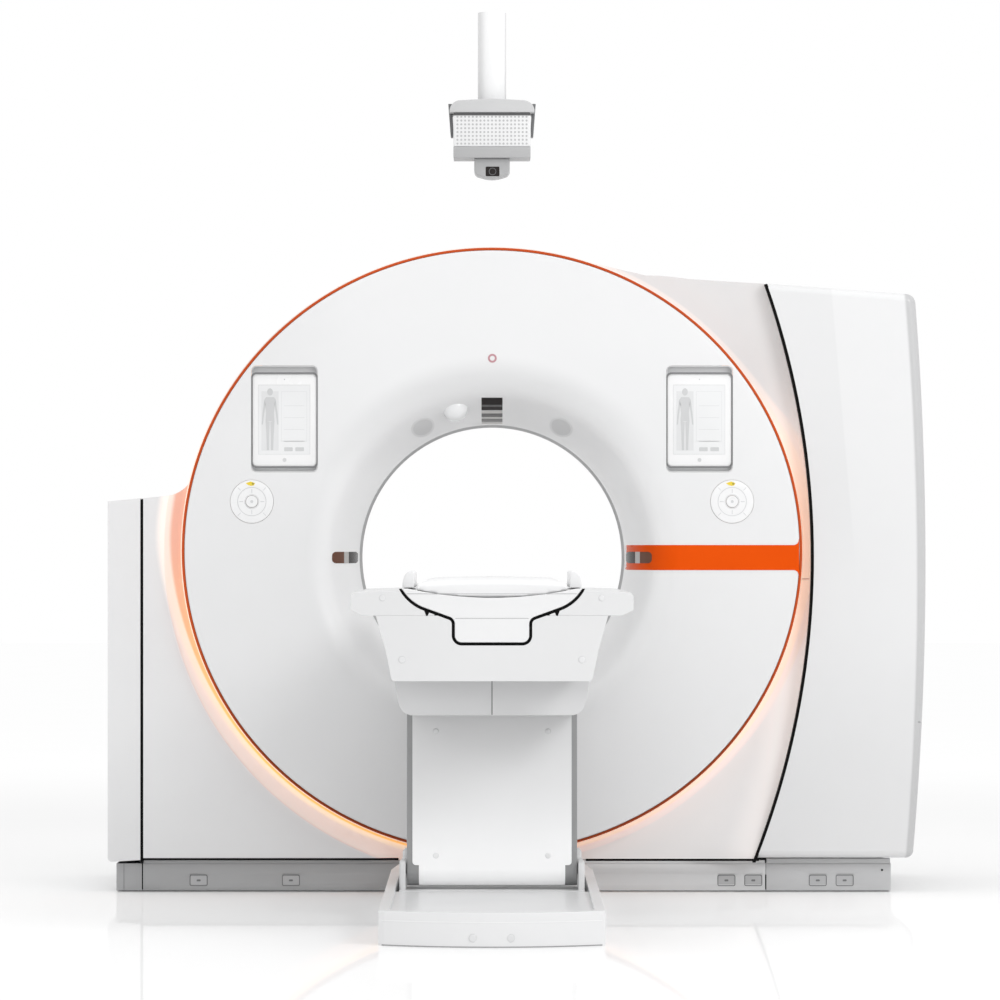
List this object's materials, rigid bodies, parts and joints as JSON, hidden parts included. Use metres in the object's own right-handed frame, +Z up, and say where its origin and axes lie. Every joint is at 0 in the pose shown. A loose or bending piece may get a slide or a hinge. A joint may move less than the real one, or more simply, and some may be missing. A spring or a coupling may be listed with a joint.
{
  "type": "computed tomography scanner",
  "caption": "Ring shaped medical scanner with a tower at one side, a long patient table on folding legs that slides into the bore, and a camera hung from the ceiling.",
  "frame": {"origin": "the point on the floor straight under the middle of the bore, the centre of the four anchor holes of the gantry's base frame", "axes": "+Z up, +Y along the bore from the table's side to the rear, +X to the right as seen from the table's foot"},
  "size_m": [2.4935, 3.06, 2.561],
  "materials": {
    "white_cover": "satin painted moulding",
    "orange_inlay": "smooth coloured inlay",
    "red_trim": "smooth coloured trim",
    "ring_light": "frosted light guide",
    "dark_window": "dark laser window",
    "seam_rubber": "matt black seal",
    "grey_plinth": "fine textured",
    "frame_steel": "powder coated steel",
    "bearing_steel": "ground steel",
    "motor_winding": "enamelled winding",
    "motor_magnets": "nickel plated",
    "slip_ring_metal": "turned tracks",
    "brush_plastic": "moulded block",
    "rotor_aluminium": "machined casting",
    "tube_housing": "painted lead lined housing",
    "unit_case": "painted sheet case",
    "dock_plastic": "satin moulding",
    "tablet_case": "satin case with a glass screen",
    "dial_plastic": "satin moulding",
    "dome_plastic": "smoked dome",
    "grille_grey": "fine perforated",
    "leg_paint": "powder coated steel",
    "rail_steel": "ground rail",
    "tabletop_shell": "lacquered shell over a light core",
    "mattress_cover": "smooth wipe clean cover",
    "camera_white": "satin moulding",
    "pole_paint": "painted tube"
  },
  "bodies": {
    "frame": {"front_cover": "white_cover", "laser_windows": "dark_window", "orange_band": "orange_inlay", "halo_ring": "red_trim", "halo_light": "ring_light", "drum_cover": "white_cover", "rear_cover": "white_cover", "bore_tube": "white_cover", "left_end_cover": "white_cover", "left_front_cover": "white_cover", "right_front_cover": "white_cover", "tower_cover": "white_cover", "left_seam": "seam_rubber", "right_seam": "seam_rubber", "plinth_left": "grey_plinth", "plinth_right": "grey_plinth", "plinth_front": "grey_plinth", "plinth_rear": "grey_plinth", "gantry_base_frame": "frame_steel", "stator_frame": "frame_steel", "bearing_outer_race": "bearing_steel", "motor_coil_ring": "motor_winding", "brush_block": "brush_plastic", "left_dock": "dock_plastic", "left_tablet": "tablet_case", "left_dial": "dial_plastic", "right_dock": "dock_plastic", "right_tablet": "tablet_case", "right_dial": "dial_plastic", "sensor_dome": "dome_plastic", "speaker_grilles": "grille_grey", "table_foot": "white_cover", "leg_base": "leg_paint", "ceiling_pole": "pole_paint", "camera_yoke": "camera_white", "camera_housing": "camera_white"},
    "rotor": {"rotor_drum": "rotor_aluminium", "bearing_inner_race": "bearing_steel", "bearing_rollers": "bearing_steel", "motor_magnet_ring": "motor_magnets", "slip_ring": "slip_ring_metal", "x_ray_tube": "tube_housing", "detector_arc": "rotor_aluminium", "generator": "unit_case", "tube_cooler": "unit_case", "balance_weight": "tube_housing"},
    "left_button": {"left_button": "dial_plastic"},
    "right_button": {"right_button": "dial_plastic"},
    "front_leg": {"front_leg": "leg_paint", "front_leg_cover": "white_cover"},
    "rear_leg": {"rear_leg": "leg_paint"},
    "table": {"table_chassis": "frame_steel", "table_housing": "white_cover", "left_shelf": "white_cover", "right_shelf": "white_cover", "leg_hood": "white_cover", "slide_rails": "rail_steel"},
    "tabletop": {"tabletop": "tabletop_shell", "tabletop_end_cap": "white_cover", "mattress": "mattress_cover"}
  },
  "joints": [
    {"name": "rotor_spin", "type": "hinge", "parent": "frame", "child": "rotor", "pos_m": [0, 0, 1.02], "axis": [0, 1, 0], "continuous": true},
    {"name": "front_leg_fold", "type": "hinge", "parent": "frame", "child": "front_leg", "pos_m": [0, -1.45, 0.14], "axis": [-1, 0, 0], "range_deg": [-75, 0]},
    {"name": "rear_leg_fold", "type": "hinge", "parent": "frame", "child": "rear_leg", "pos_m": [0, -0.95, 0.14], "axis": [-1, 0, 0], "range_deg": [-75, 0]},
    {"name": "table_level", "type": "hinge", "parent": "front_leg", "child": "table", "pos_m": [0, -1.45, 0.68], "axis": [-1, 0, 0], "range_deg": [0, 75]},
    {"name": "tabletop_slide", "type": "slide", "parent": "table", "child": "tabletop", "axis": [0, 1, 0], "range_m": [0, 1.5]},
    {"name": "left_button_push", "type": "slide", "parent": "frame", "child": "left_button", "axis": [0, 1, 0], "range_m": [0, 0.002], "stiffness_N_per_m": 1500, "springref_m": -0.0005},
    {"name": "right_button_push", "type": "slide", "parent": "frame", "child": "right_button", "axis": [0, 1, 0], "range_m": [0, 0.002], "stiffness_N_per_m": 1500, "springref_m": -0.0005}
  ],
  "couplings": [
    {"joint": "rear_leg_fold", "follows": "front_leg_fold", "ratio": 1},
    {"joint": "table_level", "follows": "front_leg_fold", "ratio": -1}
  ]
}
